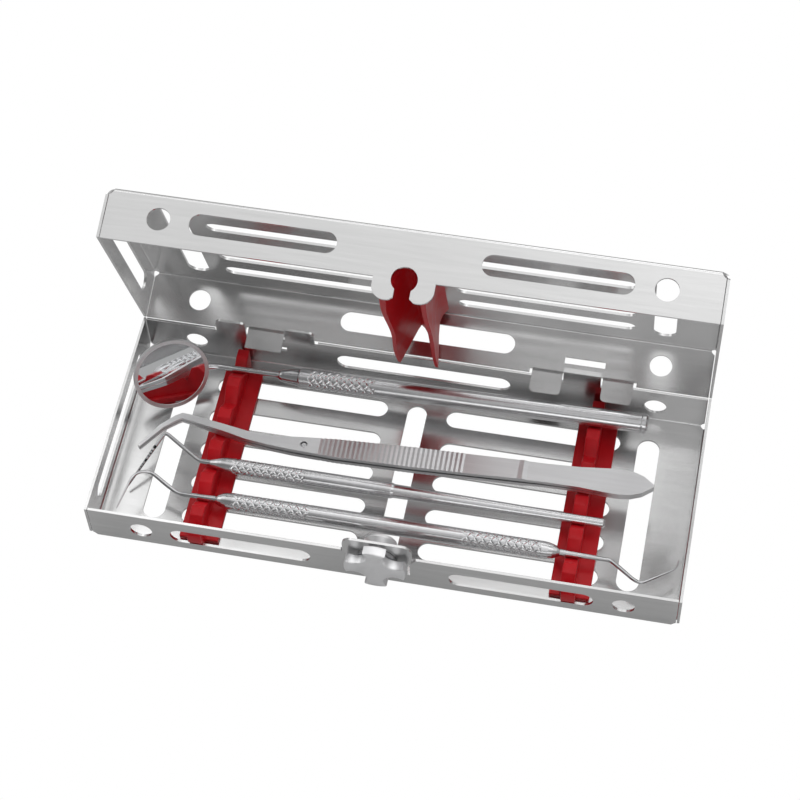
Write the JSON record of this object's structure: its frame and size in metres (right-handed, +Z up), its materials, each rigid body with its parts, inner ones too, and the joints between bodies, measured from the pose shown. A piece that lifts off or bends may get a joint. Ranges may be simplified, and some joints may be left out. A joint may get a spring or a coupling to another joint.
{
  "type": "dental instrument cassette",
  "caption": "Open dental instrument cassette of folded, perforated stainless sheet: hooked lid, silicone rails and lid cushion, quarter-turn latch, and a small set of hand instruments.",
  "frame": {"origin": "middle of the tray's underside, on the table", "axes": "+X along the cassette to the right, +Y from the latch at the front to the hinges at the back, +Z up"},
  "size_m": [0.182, 0.0948, 0.089],
  "materials": {
    "sheet_steel": "satin stainless sheet with soft reflections",
    "silicone": "smooth red silicone, slightly glossy",
    "latch_steel": "turned and tumbled stainless",
    "washer_steel": "satin stainless",
    "mirror": "silvered glass",
    "instrument_steel": "satin stainless handles with turned grip rings",
    "tip_steel": "polished stainless",
    "tweezers_steel": "matt stainless"
  },
  "bodies": {
    "base": {"tray": "sheet_steel", "left_rail": "silicone", "right_rail": "silicone"},
    "lid": {"lid": "sheet_steel", "lid_cushion": "silicone"},
    "latch": {"latch_knob": "latch_steel", "latch_washer": "washer_steel", "latch_shaft": "latch_steel"},
    "mirror": {"mirror_glass": "mirror", "mirror_head": "tip_steel", "mirror_stem": "tip_steel", "mirror_handle": "instrument_steel", "mirror_end_plug": "instrument_steel"},
    "tweezers": {"tweezers_lower_arm": "tweezers_steel", "tweezers_guide_pin": "tip_steel"},
    "tweezers_upper": {"tweezers_upper_arm": "tweezers_steel"},
    "probe": {"probe_tip": "tip_steel", "probe_grip": "instrument_steel", "probe_tail": "instrument_steel"},
    "explorer": {"explorer_handle": "instrument_steel", "explorer_left_tip": "tip_steel", "explorer_right_tip": "tip_steel"}
  },
  "joints": [
    {"name": "lid_hinge", "type": "hinge", "parent": "base", "child": "lid", "pos_m": [0, 0.0362, 0.0154], "axis": [-1, 0, 0], "range_deg": [-73.1, 90], "deforming": ["lid_cushion"]},
    {"name": "latch_turn", "type": "hinge", "parent": "base", "child": "latch", "pos_m": [0, -0.0362, 0.0156], "axis": [0, 1, 0], "range_deg": [0, 90]},
    {"name": "mirror_lift", "type": "slide", "parent": "base", "child": "mirror", "axis": [0, 0, 1], "range_m": [0, 0.006]},
    {"name": "tweezers_lift", "type": "slide", "parent": "base", "child": "tweezers", "axis": [0, 0, 1], "range_m": [0, 0.008]},
    {"name": "tweezers_open", "type": "hinge", "parent": "tweezers", "child": "tweezers_upper", "pos_m": [0.0776, 0.003, 0.0122], "axis": [0, 1, 0], "range_deg": [0, 3.5]},
    {"name": "probe_lift", "type": "slide", "parent": "base", "child": "probe", "axis": [0, 0, 1], "range_m": [0, 0.008]},
    {"name": "explorer_lift", "type": "slide", "parent": "base", "child": "explorer", "axis": [0, 0, 1], "range_m": [0, 0.008]}
  ]
}
